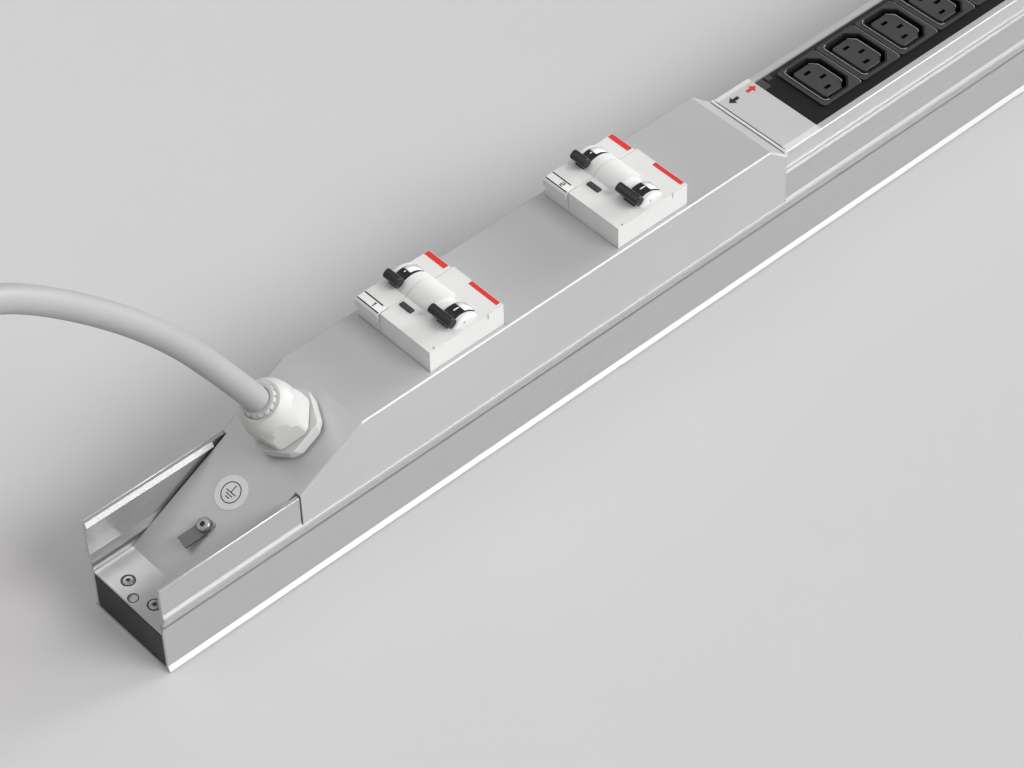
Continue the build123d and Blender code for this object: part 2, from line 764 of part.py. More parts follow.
def toggle(n, large):
    bar, drum = toggle_spans(large)
    pivot_x = breaker_middle(n) + toggle_axis_x
    piece = across(drum_radius, 0, 0, *drum)
    arm = block(-2.0, 2.0, drum[0] + 0.6, drum[1] - 0.6, 0, bar_inner_radius + 1)
    grip = block(-bar_thickness / 2, bar_thickness / 2, bar[0], bar[1], bar_inner_radius, bar_outer_radius)
    grip = fillet(grip.edges().filter_by(Axis.Y), 1.8)
    grip = fillet(grip.faces().sort_by(Axis.Y)[0].edges() + grip.faces().sort_by(Axis.Y)[-1].edges(), 0.9)
    piece += arm
    piece += grip
    piece = Rot(0, -toggle_lean, 0) * piece
    piece += across(trunnion_radius, 0, 0, drum[0] - trunnion_length, drum[1] + trunnion_length)
    return Pos(pivot_x, 0, toggle_z) * piece


def test_button(n):
    x = breaker_middle(n) + button_x
    button = block(x - button_length / 2, x + button_length / 2, button_y - button_width / 2,
                   button_y + button_width / 2, breaker_front_z - button_depth,
                   breaker_front_z + button_proud)
    return fillet(button.edges().group_by(Axis.Z)[-1], 0.4)


def hat_rail(n):
    middle = breaker_middle(n)
    half, base, t = hat_width / 2, hat_base_width / 2, hat_thickness
    low = hat_top_z - hat_height
    outline = [
        (-half, hat_top_z), (-base + t, hat_top_z), (-base + t, low + t), (base - t, low + t),
        (base - t, hat_top_z), (half, hat_top_z), (half, hat_top_z - t), (base, hat_top_z - t),
        (base, low), (-base, low), (-base, hat_top_z - t), (-half, hat_top_z - t),
    ]
    return along_y([(middle + x, z) for x, z in outline], -1.5 * module_width, 1.5 * module_width)


def hat_bracket(n):
    middle = breaker_middle(n)
    half_y = box_width / 2 - sheet - slip
    half_x = bracket_length / 2
    plate = block(middle - half_x, middle + half_x, -half_y, half_y, wall_cut_z,
                  wall_cut_z + bracket_thickness)
    for x in (-22.0, 22.0):
        plate -= Pos(middle + x, 0, wall_cut_z) * Cylinder(2.2, 4)
    return plate


# Bars and their carrier

def bar_ys():
    return [(n - 2) * bar_pitch for n in range(len(bar_names))]


def busbar_carrier():
    x0, x1 = at(carrier_start_x), at(rail_length - end_plate_thickness - 1.0)
    base_top = rib_top_z + carrier_base
    carrier = block(x0, x1, -carrier_half_width, carrier_half_width, rib_top_z, base_top)
    for y in bar_ys():
        for side in (-1, 1):
            wall = y + side * bar_pitch / 2
            carrier += block(x0, x1, wall - carrier_wall / 2, wall + carrier_wall / 2, rib_top_z,
                             carrier_top_z)
    for y in bar_ys():
        half = bar_width_y / 2 + bar_fit
        carrier -= block(x0 - 1, x1 + 1, y - half, y + half, base_top - bar_groove, base_top + 1)
    return carrier


def bar(y):
    low = rib_top_z + carrier_base - bar_groove
    x0, x1 = at(carrier_start_x + 3.0), at(rail_length - end_plate_thickness - 4.0)
    return block(x0, x1, y - bar_width_y / 2, y + bar_width_y / 2, low, low + bar_height)


# Terminal block

def terminal_block():
    x0, x1 = at(terminal_x), at(terminal_x + terminal_length)
    half = terminal_poles * terminal_pole_pitch / 2
    z1 = rib_top_z + terminal_height
    body = block(x0, x1, -half, half, rib_top_z, z1 - 8)
    body += block(x0 + 7, x1 - 7, -half, half, rib_top_z, z1)
    for n in range(terminal_poles):
        y = (n - (terminal_poles - 1) / 2) * terminal_pole_pitch
        body -= Pos((x0 + x1) / 2, y, z1) * Cylinder(2.5, 8)
        body -= block(x0 - 1, x0 + 6, y - 2, y + 2, rib_top_z + 8, rib_top_z + 12)
        body -= block(x1 - 6, x1 + 1, y - 2, y + 2, rib_top_z + 8, rib_top_z + 12)
    return body


# Socket modules

def module_x(n):
    return at(module_start_x + n * module_pitch)


def module_length():
    return module_pitch - module_gap


def module_channel(n):
    low = ledge_z + module_rest_gap
    half = module_half_width
    lip = half - module_lip_width
    inner = half - module_wall
    roof = module_lip_z - module_lip_thickness
    side = [
        (half, low), (half, module_lip_z), (lip, module_lip_z), (lip, roof), (inner, roof),
        (inner, low + module_wall),
    ]
    channel = along_x(mirrored(side), module_x(n) + cap_wall, module_x(n) + module_length() - cap_wall)
    corners = [e for e in channel.edges().filter_by(Axis.X)
               if abs(abs(e.center().Y) - half) < 0.01 and e.center().Z > roof]
    channel = fillet(corners, module_lip_round)
    block_x, block_y = contact_tower_span(n)
    gap = contact_window_gap
    channel -= block(block_x[0] - gap, block_x[1] + gap, block_y[0] - gap, block_y[1] + gap,
                     low - 1, low + module_wall + 1)
    return channel


def outlet_outline(length_x, width_y, corner):
    """Outlet form: small rounds at the side of the line pins, cut corners at the earth side."""
    plate = Rectangle(length_x, width_y)
    plate = fillet(plate.vertices().group_by(Axis.X)[0], min(corner, 2.5))
    return chamfer(plate.vertices().group_by(Axis.X)[-1], corner)


def socket_strip(n):
    x0, x1 = module_x(n) + cap_length + 0.2, module_x(n) + module_length() - cap_length - 0.2
    low = ledge_z + module_rest_gap + module_wall + 0.2
    top = module_lip_z - strip_top_drop
    base_top = module_lip_z - strip_floor_drop
    lip = module_half_width - module_lip_width - strip_gap
    inner = module_half_width - module_wall - strip_gap
    roof = module_lip_z - module_lip_thickness - strip_gap
    strip = along_x(mirrored([(inner, low), (inner, roof), (lip, roof), (lip, base_top)]), x0, x1)
    recess = outlet_outline(recess_length_x, recess_width_y, recess_corner)
    rim = outlet_outline(recess_length_x + 2 * rim_width, recess_width_y + 2 * rim_width,
                         recess_corner + rim_width / 2)
    tongue = extrude(outlet_outline(tongue_length_x, tongue_width_y, tongue_corner),
                     recess_depth - tongue_drop)
    tongue = chamfer(tongue.faces().sort_by(Axis.Z)[-1].edges(), tongue_chamfer)
    tile = extrude(RectangleRounded(tile_length_x, tile_width_y, tile_corner), top - base_top)
    slots = Pos(pole_slot_dx, pole_slot_y, 0) * Box(slot_wide, slot_narrow, 2 * slot_depth)
    slots += Pos(pole_slot_dx, -pole_slot_y, 0) * Box(slot_wide, slot_narrow, 2 * slot_depth)
    slots += Pos(earth_slot_dx, 0, 0) * Box(slot_wide, slot_narrow, 2 * slot_depth)
    outlet = Pos(0, 0, base_top) * tile + Pos(0, 0, top) * extrude(rim, rim_height)
    for k in range(outlet_count):
        place = Pos(module_x(n) + outlet_first + k * outlet_pitch, outlet_y, 0)
        strip += place * outlet
        strip -= place * Pos(0, 0, top - recess_depth) * extrude(recess, recess_depth + rim_height + 1)
        strip += place * Pos(0, 0, top - recess_depth) * tongue
        strip -= place * Pos(0, 0, top) * slots
    return strip + contact_tower(n)


def end_caps(n):
    caps = []
    low = ledge_z + module_rest_gap
    half = module_half_width
    lip = half - module_lip_width - strip_gap
    inner = half - module_wall - strip_gap
    roof = module_lip_z - module_lip_thickness - strip_gap
    length = module_length()
    for end in (0, 1):
        def span(a, b):
            x = (a, b) if end == 0 else (length - b, length - a)
            return module_x(n) + x[0], module_x(n) + x[1]
        cap = block(*span(0, cap_wall), -half, half, low, cap_plate_z)
        cap += block(*span(0, cap_length), -half + cap_side_inset, half - cap_side_inset,
                     module_lip_z, cap_plate_z)
        cap += block(*span(cap_wall, cap_length), -lip, lip, roof - 2, module_lip_z)
        cap += block(*span(cap_wall, cap_wall + 8), -inner, inner, low + module_wall + 0.2, roof)
        caps.append(cap)
    return Compound(caps)


def contact_ys():
    return bar_ys()[:3]


def contact_tower_span(n):
    x0 = module_x(n) + contact_inset
    half = contact_length / 2 + contact_tower_margin
    ys = contact_ys()
    return (x0 - half, x0 + half), (ys[0] - contact_tower_margin, ys[-1] + contact_tower_margin)


def contact_tower(n):
    """The moulding that reaches down through the channel and holds the contacts."""
    (x0, x1), (y0, y1) = contact_tower_span(n)
    return block(x0, x1, y0, y1, contact_top_z, ledge_z + module_rest_gap + module_wall + 1.0)


def module_contacts(n):
    x = module_x(n) + contact_inset
    forks = []
    for y in contact_ys():
        inner = bar_width_y / 2 + contact_gap
        outer = inner + contact_blade
        fork = [
            (y - outer, contact_low_z), (y - outer, contact_top_z), (y + outer, contact_top_z),
            (y + outer, contact_low_z), (y + inner, contact_low_z),
            (y + inner, contact_top_z - contact_web), (y - inner, contact_top_z - contact_web),
            (y - inner, contact_low_z),
        ]
        forks.append(along_x(fork, x - contact_length / 2, x + contact_length / 2))
    return Compound(forks)


os.makedirs("parts", exist_ok=True)
print("rail length", rail_length, "slope", round(slope_angle, 2), "front", breaker_front_z)

save(rail_profile(), "rail_profile")
save(inlet_end_plate(), "inlet_end_plate")
save(far_end_plate(), "far_end_plate")
save(Compound(end_plate_screws(0) + end_plate_screws(1)), "end_plate_screws")
save(connection_box(), "connection_box")
save(flange_screws(), "box_flange_screws")
save(earth_washer_piece(), "earth_washer")
save(earth_tab(), "earth_tab")
save(earth_screw(), "earth_screw")
save(earth_nut(), "earth_nut")
save(earth_sign(), "earth_sign")
save_gland()
save(mains_cable(), "mains_cable")
save(cable_coil(), "cable_coil")
save(cable_tail(), "cable_tail")
save_plug()
save(busbar_carrier(), "busbar_carrier")
for bar_name, bar_y in zip(bar_names, bar_ys()):
    save(bar(bar_y), bar_name)
save(terminal_block(), "terminal_block")

for number in range(breaker_count):
    breaker = "breaker_%d_" % (number + 1)
    save(breaker_housing(number, False), breaker + "small_housing")
    save(breaker_housing(number, True), breaker + "large_housing")
    save(marker_clip(number), breaker + "marker_clip")
    save(toggle(number, False), breaker + "small_toggle")
    save(toggle(number, True), breaker + "large_toggle")
    save(test_button(number), breaker + "test_button")

save(Compound([hat_rail(number) for number in range(breaker_count)]), "hat_rails")
save(Compound([hat_bracket(number) for number in range(breaker_count)]), "hat_rail_brackets")

for number in range(module_count):
    module = "module_%d_" % (number + 1)
    save(module_channel(number), module + "channel")
    save(socket_strip(number), module + "socket_strip")
    save(end_caps(number), module + "end_caps")
    save(module_contacts(number), module + "contacts")
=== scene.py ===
import bmesh
import bpy
import json
import math
from mathutils import Matrix, Vector


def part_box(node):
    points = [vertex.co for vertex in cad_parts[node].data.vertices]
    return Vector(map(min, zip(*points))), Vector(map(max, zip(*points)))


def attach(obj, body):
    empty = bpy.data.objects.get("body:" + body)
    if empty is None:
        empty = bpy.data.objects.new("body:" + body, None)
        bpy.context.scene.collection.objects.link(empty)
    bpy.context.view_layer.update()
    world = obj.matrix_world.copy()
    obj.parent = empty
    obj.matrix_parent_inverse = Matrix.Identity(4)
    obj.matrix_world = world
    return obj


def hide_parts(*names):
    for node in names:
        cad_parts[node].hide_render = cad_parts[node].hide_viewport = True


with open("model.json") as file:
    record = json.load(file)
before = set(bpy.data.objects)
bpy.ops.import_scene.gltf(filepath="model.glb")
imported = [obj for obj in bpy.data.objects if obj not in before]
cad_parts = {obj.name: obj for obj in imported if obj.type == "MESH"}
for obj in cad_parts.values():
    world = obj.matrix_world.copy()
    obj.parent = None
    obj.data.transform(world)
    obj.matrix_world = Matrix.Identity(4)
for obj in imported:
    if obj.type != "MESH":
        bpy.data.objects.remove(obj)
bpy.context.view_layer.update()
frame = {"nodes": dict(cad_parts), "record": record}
nodes = frame["nodes"]
RAIL = "busbar_rail"
MM = 0.001

# Places are in millimetres from the rail's inlet end, as on the drawing of the part.
INLET_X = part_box("inlet_end_plate")[0].x
FLANGE_Z = 26.3
FLANGE_LENGTH = 21.9
SLOPE_TOP_X = 118.0
BOX_TOP_Z = 79.7
SLOPE_ANGLE = math.atan2(BOX_TOP_Z - FLANGE_Z, SLOPE_TOP_X - FLANGE_LENGTH)


def at(x, y, z):
    """A point counted from the inlet end, in metres in the part's frame."""
    return Vector((INLET_X + x * MM, y * MM, z * MM))


def slope_frame(s, y, height=0.0):
    """A matrix on the box's slope: X up the slope, Z away from it."""
    along = Vector((math.cos(SLOPE_ANGLE), 0, math.sin(SLOPE_ANGLE)))
    normal = Vector((-math.sin(SLOPE_ANGLE), 0, math.cos(SLOPE_ANGLE)))
    across = normal.cross(along)
    spot = at(FLANGE_LENGTH, y, FLANGE_Z) + (along * s + normal * height) * MM
    turn = Matrix((along, across, normal)).transposed().to_4x4()
    return Matrix.Translation(spot) @ turn


# Camera, at the photograph's place

CAMERA_PLACE = (-480.023, -816.406, 1140.718)
CAMERA_HEADING = 48.894
CAMERA_DOWN = 46.459
CAMERA_ROLL = 1.5498
FOCAL_PIXELS = 3232.0
FRAME_PIXELS = 1024.0
SENSOR = 36.0
CLIP_START, CLIP_END = 0.05, 30.0


def make_camera():
    heading, down, roll = (math.radians(v) for v in (CAMERA_HEADING, CAMERA_DOWN, CAMERA_ROLL))
    forward = Vector((math.cos(down) * math.cos(heading),
                      math.cos(down) * math.sin(heading), -math.sin(down)))
    level = Vector((math.sin(heading), -math.cos(heading), 0))
    below = forward.cross(level)
    right = math.cos(roll) * level + math.sin(roll) * below
    under = math.cos(roll) * below - math.sin(roll) * level
    turn = Matrix((right, -under, -forward)).transposed().to_4x4()
    data = bpy.data.cameras.new("camera")
    data.sensor_width = SENSOR
    data.lens = FOCAL_PIXELS / FRAME_PIXELS * SENSOR
    data.clip_start = CLIP_START
    data.clip_end = CLIP_END
    camera = bpy.data.objects.new("camera", data)
    camera.matrix_world = Matrix.Translation(at(*CAMERA_PLACE)) @ turn
    bpy.context.scene.collection.objects.link(camera)
    bpy.context.scene.camera = camera


make_camera()


# Mains cable: the route's points from the inlet end, then the coil's turns, then the tail to the plug

CABLE_DIAMETER = 12.5
GLAND_S = 88.1              # the gland's place up the slope
LEAD_LOW = -14.0            # the lead's straight stretch through the gland
LEAD_HIGH = 60.0
ROUTE = [
    (36.0, 0.0, 174.9), (-7.0, 0.0, 221.4), (-44.0, -0.5, 250.4), (-83.5, -1.0, 256.7),
    (-120.8, -2.0, 242.4), (-146.0, -3.5, 211.3), (-154.5, -6.0, 170.0), (-158.5, -10.0, 119.0),
    (-161.0, -15.0, 72.0), (-184.0, -20.0, 37.5), (-222.0, -22.7, 20.5),
]
COIL_X, COIL_Y = -262.0, 52.8
COIL_RADII = (76.4, 63.7, 51.0)
ROW_Z = (18.75, 6.25)
POINTS_PER_TURN = 16
COIL_TURNS = 5.5
RAMP_POINTS = 4             # over these a turn leads to the next one
TAIL = [(-232.0, 127.5, 8.0), (-200.0, 116.5, 15.0), (-163.5, 106.0, 18.3)]


def coil_points():
    """Inwards on the upper row and outwards on the lower one, clockwise from the near side."""
    turns = [(r, ROW_Z[0]) for r in COIL_RADII] + [(r, ROW_Z[1]) for r in reversed(COIL_RADII)]
    swell = 1 / math.cos(math.pi / POINTS_PER_TURN) ** 0.5
    last = int(COIL_TURNS * POINTS_PER_TURN)
    points = []
    for n in range(last + 1):
        turn, step = divmod(n, POINTS_PER_TURN)
        radius, height = turns[turn]
        before = POINTS_PER_TURN - step
        if before <= RAMP_POINTS and turn + 1 < len(turns):
            share = (RAMP_POINTS - before + 1) / (RAMP_POINTS + 1)
            radius += (turns[turn + 1][0] - radius) * share
            height += (turns[turn + 1][1] - height) * share
        angle = -math.pi / 2 - 2 * math.pi * n / POINTS_PER_TURN
        radius *= swell
        points.append((COIL_X + radius * math.cos(angle), COIL_Y + radius * math.sin(angle), height))
    return points


def mains_cable():
    lead = [slope_frame(GLAND_S, 0, h).translation for h in (LEAD_LOW, LEAD_HIGH)]
    points = lead + [at(*p) for p in ROUTE + coil_points() + TAIL]
    curve = bpy.data.curves.new("mains_lead", "CURVE")
    curve.dimensions = "3D"
    spline = curve.splines.new("NURBS")
    spline.points.add(len(points) - 1)
    for point, place in zip(spline.points, points):
        point.co = (*place, 1.0)
    spline.order_u = 3
    spline.use_endpoint_u = True
    spline.resolution_u = 10
    curve.bevel_depth = CABLE_DIAMETER / 2 * MM
    curve.bevel_resolution = 8
    curve.use_fill_caps = True
    lead_object = bpy.data.objects.new("mains_lead", curve)
    bpy.context.scene.collection.objects.link(lead_object)
    return lead_object, points


def curve_length(obj):
    """Length of a curve's own line."""
    depth = obj.data.bevel_depth
    obj.data.bevel_depth = 0
    line = bpy.data.meshes.new_from_object(obj)
    obj.data.bevel_depth = depth
    places = [v.co for v in line.vertices]
    total = sum((b - a).length for a, b in zip(places, places[1:]))
    bpy.data.meshes.remove(line)
    return total


cable, cable_route = mains_cable()
cable_length = curve_length(cable)


# Materials

NOISE_LOW, NOISE_HIGH = 0.3, 0.7    # the part of the noise's range that is used
STRIP_LOW, STRIP_HIGH = 68.0, 70.0  # heights that hold the outlets' flat tops
TONGUE_BAND = (68.52, 68.68)
TILE_BAND = (69.34, 69.46)
# Band under the ridge: a bumped hollow, and painted shade that darkens the colour there
HOLLOW_LOW, HOLLOW_HIGH = 28.2, 32.2
HOLLOW_DEPTH = 1.0
HOLLOW_PAINTED_SHADE = 0.62


def shader(name, colour, rough, metal=0.0, specular=0.5):
    """A material and its principled shader with the values that are the same all over."""
    made = bpy.data.materials.new(name)
    made.use_nodes = True
    principled = made.node_tree.nodes["Principled BSDF"]
    principled.inputs["Base Color"].default_value = (*colour, 1)
    principled.inputs["Roughness"].default_value = rough
    principled.inputs["Metallic"].default_value = metal
    principled.inputs["Specular IOR Level"].default_value = specular
    return made, principled


def noise(tree, scale, stretch=(1, 1, 1), detail=4.0):
    """Noise in the part's own coordinates; scale is features per metre."""
    place = tree.nodes.new("ShaderNodeTexCoord")
    mapping = tree.nodes.new("ShaderNodeMapping")
    mapping.inputs["Scale"].default_value = stretch
    texture = tree.nodes.new("ShaderNodeTexNoise")
    texture.inputs["Scale"].default_value = scale
    texture.inputs["Detail"].default_value = detail
    tree.links.new(place.outputs["Object"], mapping.inputs["Vector"])
    tree.links.new(mapping.outputs["Vector"], texture.inputs["Vector"])
    return texture.outputs["Fac"]


def vary_colour(tree, principled, factor, colour, spread):
    """Colour that runs a little darker and lighter than the plain one."""
    ramp = tree.nodes.new("ShaderNodeValToRGB")
    dark = [max(0.0, c * (1 - spread)) for c in colour]
    light = [min(1.0, c * (1 + spread)) for c in colour]
    ramp.color_ramp.elements[0].position = NOISE_LOW
    ramp.color_ramp.elements[1].position = NOISE_HIGH
    ramp.color_ramp.elements[0].color = (*dark, 1)
    ramp.color_ramp.elements[1].color = (*light, 1)
    tree.links.new(factor, ramp.inputs["Fac"])
    tree.links.new(ramp.outputs["Color"], principled.inputs["Base Color"])
    return ramp


def vary_roughness(tree, principled, factor, low, high):
    spread = tree.nodes.new("ShaderNodeMapRange")
    spread.inputs["From Min"].default_value = NOISE_LOW
    spread.inputs["From Max"].default_value = NOISE_HIGH
    spread.inputs["To Min"].default_value = low
    spread.inputs["To Max"].default_value = high
    tree.links.new(factor, spread.inputs["Value"])
    tree.links.new(spread.outputs["Result"], principled.inputs["Roughness"])


def add_bump(tree, principled, factor, depth_mm, strength=1.0):
    bump = tree.nodes.new("ShaderNodeBump")
    bump.inputs["Distance"].default_value = depth_mm * MM
    bump.inputs["Strength"].default_value = strength
    tree.links.new(factor, bump.inputs["Height"])
    tree.links.new(bump.outputs["Normal"], principled.inputs["Normal"])


def drawn_metal(name, colour, rough, metal, line_scale=300.0, spread=0.015):
    """Extruded or rolled metal: its faint lines along the length show in colour and gloss."""
    made, principled = shader(name, colour, rough, metal)
    tree = made.node_tree
    lines = noise(tree, line_scale, (0, 1, 1), 2.0)
    vary_colour(tree, principled, lines, colour, spread)
    vary_roughness(tree, principled, noise(tree, 8.0, (0.2, 1, 1), 1.0), rough - 0.02, rough + 0.03)
    return made


def hollow_wall(name, colour, rough, metal, low, high, depth_mm, shade):
    """Drawn metal with a shallow bumped hollow below the ridge, and painted shade that darkens its colour
    just under the ridge.
    """
    made = drawn_metal(name, colour, rough, metal)
    tree = made.node_tree
    principled = tree.nodes["Principled BSDF"]
    place = tree.nodes.new("ShaderNodeTexCoord")
    parts = tree.nodes.new("ShaderNodeSeparateXYZ")
    rise = tree.nodes.new("ShaderNodeMapRange")
    rise.interpolation_type = "SMOOTHSTEP"
    rise.inputs["From Min"].default_value = low * MM
    rise.inputs["From Max"].default_value = high * MM
    tree.links.new(place.outputs["Object"], parts.inputs["Vector"])
    tree.links.new(parts.outputs["Z"], rise.inputs["Value"])
    add_bump(tree, principled, rise.outputs["Result"], depth_mm)
    # Painted shade: the colour darkens towards the ridge's underside, where the ridge shades the wall
    painted_shade_ramp = tree.nodes.new("ShaderNodeValToRGB")
    painted_shade_ramp.color_ramp.elements[0].color = (1, 1, 1, 1)
    painted_shade_ramp.color_ramp.elements[1].color = (shade, shade, shade, 1)
    painted_shade_ramp.color_ramp.elements[1].position = 0.97
    stop = painted_shade_ramp.color_ramp.elements.new(1.0)
    stop.color = (1, 1, 1, 1)
    mix = tree.nodes.new("ShaderNodeMix")
    mix.data_type = "RGBA"
    mix.blend_type = "MULTIPLY"
    mix.inputs["Factor"].default_value = 1.0
    lines = principled.inputs["Base Color"].links[0].from_socket
    tree.links.new(rise.outputs["Result"], painted_shade_ramp.inputs["Fac"])
    tree.links.new(lines, mix.inputs[6])
    tree.links.new(painted_shade_ramp.outputs["Color"], mix.inputs[7])
    tree.links.new(mix.outputs[2], principled.inputs["Base Color"])
    return made


def powder_coat(name, colour, rough, depth=0.02, metal=0.0):
    """Powder coat with its fine orange peel."""
    made, principled = shader(name, colour, rough, metal)
    tree = made.node_tree
    peel = noise(tree, 900.0, (1, 1, 1), 2.0)
    cloud = noise(tree, 14.0, (1, 1, 1), 3.0)
    vary_colour(tree, principled, cloud, colour, 0.02)
    vary_roughness(tree, principled, cloud, rough - 0.03, rough + 0.04)
    add_bump(tree, principled, peel, depth, 0.6)
    return made


def moulded(name, colour, rough, depth=0.01, grain=2200.0, spread=0.03):
    """Moulded plastic with a fine spark-eroded grain."""
    made, principled = shader(name, colour, rough)
    tree = made.node_tree
    fine = noise(tree, grain, (1, 1, 1), 2.0)
    cloud = noise(tree, 60.0, (1, 1, 1), 3.0)
    vary_colour(tree, principled, cloud, colour, spread)
    vary_roughness(tree, principled, cloud, rough - 0.04, rough + 0.05)
    add_bump(tree, principled, fine, depth, 0.7)
    return made


def bright_steel(name, colour, rough):
    """Zinc-plated steel, turned and slightly cloudy."""
    made, principled = shader(name, colour, rough, 1.0)
    tree = made.node_tree
    cloud = noise(tree, 350.0, (1, 1, 1), 4.0)
    fine = noise(tree, 3000.0, (1, 1, 1), 2.0)
    vary_colour(tree, principled, cloud, colour, 0.10)
    vary_roughness(tree, principled, cloud, rough - 0.08, rough + 0.10)
    add_bump(tree, principled, fine, 0.01, 0.5)
    return made


def outlet_plastic(name, base, raised, rough, bands):
    """Black moulding whose flat tops of tiles and tongues, at known heights, are drawn in a lighter grey
    than the rest.
    """
    made, principled = shader(name, base, rough, specular=0.35)
    tree = made.node_tree
    place = tree.nodes.new("ShaderNodeTexCoord")
    parts = tree.nodes.new("ShaderNodeSeparateXYZ")
    span = tree.nodes.new("ShaderNodeMapRange")
    low, high = STRIP_LOW, STRIP_HIGH
    span.inputs["From Min"].default_value = low * MM
    span.inputs["From Max"].default_value = high * MM
    steps = tree.nodes.new("ShaderNodeValToRGB")
    steps.color_ramp.interpolation = "CONSTANT"
    stops = steps.color_ramp.elements
    stops[0].position = 0.0
    stops[0].color = (0, 0, 0, 1)
    stops[1].position = (bands[0][0] - low) / (high - low)
    stops[1].color = (1, 1, 1, 1)
    for height, level in ((bands[0][1], 0), (bands[1][0], 1), (bands[1][1], 0)):
        stop = stops.new((height - low) / (high - low))
        stop.color = (level, level, level, 1)
    cloud = noise(tree, 60.0, (1, 1, 1), 3.0)
    ground = vary_colour(tree, principled, cloud, base, 0.12)
    tile = vary_colour(tree, principled, cloud, raised, 0.06)
    mix = tree.nodes.new("ShaderNodeMix")
    mix.data_type = "RGBA"
    tree.links.new(place.outputs["Object"], parts.inputs["Vector"])
    tree.links.new(parts.outputs["Z"], span.inputs["Value"])
    tree.links.new(span.outputs["Result"], steps.inputs["Fac"])
    tree.links.new(steps.outputs["Color"], mix.inputs["Factor"])
    tree.links.new(ground.outputs["Color"], mix.inputs[6])
    tree.links.new(tile.outputs["Color"], mix.inputs[7])
    tree.links.new(mix.outputs[2], principled.inputs["Base Color"])
    vary_roughness(tree, principled, cloud, rough - 0.05, rough + 0.06)
    add_bump(tree, principled, noise(tree, 1600.0, (1, 1, 1), 2.0), 0.012, 0.7)
    return made


MATERIALS = {
    "anodised_aluminium": hollow_wall("anodised_aluminium", (0.57, 0.57, 0.575), 0.28, 0.75,
                                      HOLLOW_LOW, HOLLOW_HIGH, HOLLOW_DEPTH, HOLLOW_PAINTED_SHADE),
    "channel_aluminium": drawn_metal("channel_aluminium", (0.60, 0.60, 0.605), 0.36, 0.5),
    "painted_sheet": powder_coat("painted_sheet", (0.53, 0.53, 0.535), 0.38, metal=0.35),
    "dark_plate": powder_coat("dark_plate", (0.014, 0.014, 0.016), 0.5, 0.03),
    "zinc_steel": bright_steel("zinc_steel", (0.46, 0.455, 0.44), 0.34),
    "sign_white": moulded("sign_white", (0.70, 0.70, 0.695), 0.45, 0.004),
    "gland_grey": moulded("gland_grey", (0.57, 0.57, 0.56), 0.42, 0.006, spread=0.02),
    "seal_grey": moulded("seal_grey", (0.52, 0.52, 0.51), 0.55, 0.01),
    "cable_sheath": moulded("cable_sheath", (0.36, 0.36, 0.358), 0.5, 0.02, 900.0),
    "plug_grey": moulded("plug_grey", (0.50, 0.50, 0.49), 0.45),
    "plug_red": moulded("plug_red", (0.50, 0.03, 0.025), 0.42),
    "brass_plated": bright_steel("brass_plated", (0.70, 0.55, 0.28), 0.3),
    "copper": drawn_metal("copper", (0.72, 0.38, 0.24), 0.35, 1.0),
    "breaker_white": moulded("breaker_white", (0.72, 0.72, 0.71), 0.4, 0.006, spread=0.02),
    "toggle_black": moulded("toggle_black", (0.014, 0.014, 0.015), 0.3, 0.006),
    "button_grey": moulded("button_grey", (0.045, 0.045, 0.048), 0.45),
    "carrier_plastic": moulded("carrier_plastic", (0.05, 0.052, 0.055), 0.5),
    "strip_black": outlet_plastic("strip_black", (0.006, 0.006, 0.007), (0.048, 0.048, 0.05), 0.42,
                                  (TONGUE_BAND, TILE_BAND)),
    "tile_grey": moulded("tile_grey", (0.048, 0.048, 0.05), 0.42),
    "cap_grey": moulded("cap_grey", (0.66, 0.66, 0.65), 0.42, 0.006, spread=0.02),
    "black_steel": bright_steel("black_steel", (0.06, 0.06, 0.062), 0.4),
    "print_red": moulded("print_red", (0.66, 0.035, 0.03), 0.4, 0.003),
    "print_black": moulded("print_black", (0.012, 0.012, 0.013), 0.45, 0.003),
    "label_white": moulded("label_white", (0.82, 0.82, 0.81), 0.35, 0.003, spread=0.01),
    # Grey for the outlets' thin edges on black moulding: a painted highlight
    "edge_painted_highlight": moulded("edge_painted_highlight", (0.52, 0.52, 0.52), 0.2, 0.001),
    "screw_steel": bright_steel("screw_steel", (0.30, 0.30, 0.295), 0.36),
    "tab_steel": bright_steel("tab_steel", (0.20, 0.20, 0.198), 0.5),
    # Metal lighter than the rail's for its round edges: they catch the lamps as real rounds, and the
    # lighter colour is a painted highlight
    "edge_metal_painted_highlight": drawn_metal("edge_metal_painted_highlight", (0.86, 0.86, 0.865), 0.36, 0.6),
    "foil_grey": moulded("foil_grey", (0.51, 0.51, 0.515), 0.35, 0.003, spread=0.015),
    "insert_grey": bright_steel("insert_grey", (0.34, 0.34, 0.34), 0.4),
    # Near black for painted shade: rings round the flange screws and hole, lobed shapes on screw heads, and
    # the caps' grooves
    "slot_dark": moulded("slot_dark", (0.01, 0.01, 0.01), 0.6, 0.004),
}

# Nodes drawn in another material than their slot's: lighter, less metallic channels, and other steels for
# the earth tab and nut
OWN_MATERIALS = {
    "module_1_channel": "channel_aluminium", "module_2_channel": "channel_aluminium",
    "module_3_channel": "channel_aluminium", "earth_tab": "tab_steel", "earth_nut": "screw_steel",
}


def dress_cad_nodes():
    for row in frame["record"]["subparts"]:
        piece = nodes[row["node"]]
        for place in piece.material_slots:
            place.material = MATERIALS[OWN_MATERIALS.get(row["node"], row["material_slot"])]


dress_cad_nodes()

cable.data.materials.append(MATERIALS["cable_sheath"])
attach(cable, RAIL)
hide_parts("mains_cable", "cable_coil", "cable_tail")


# Small forms in mesh code. Outlines are in millimetres in a frame of their own.

def level_frame(x, y, z):
    return Matrix.Translation(at(x, y, z))


def reading_frame(x, y, z):
    """Level, and read with the inlet end at its foot: its own X points to the near side."""
    turn = Matrix(((0, 1, 0), (-1, 0, 0), (0, 0, 1))).to_4x4()
    return Matrix.Translation(at(x, y, z)) @ turn


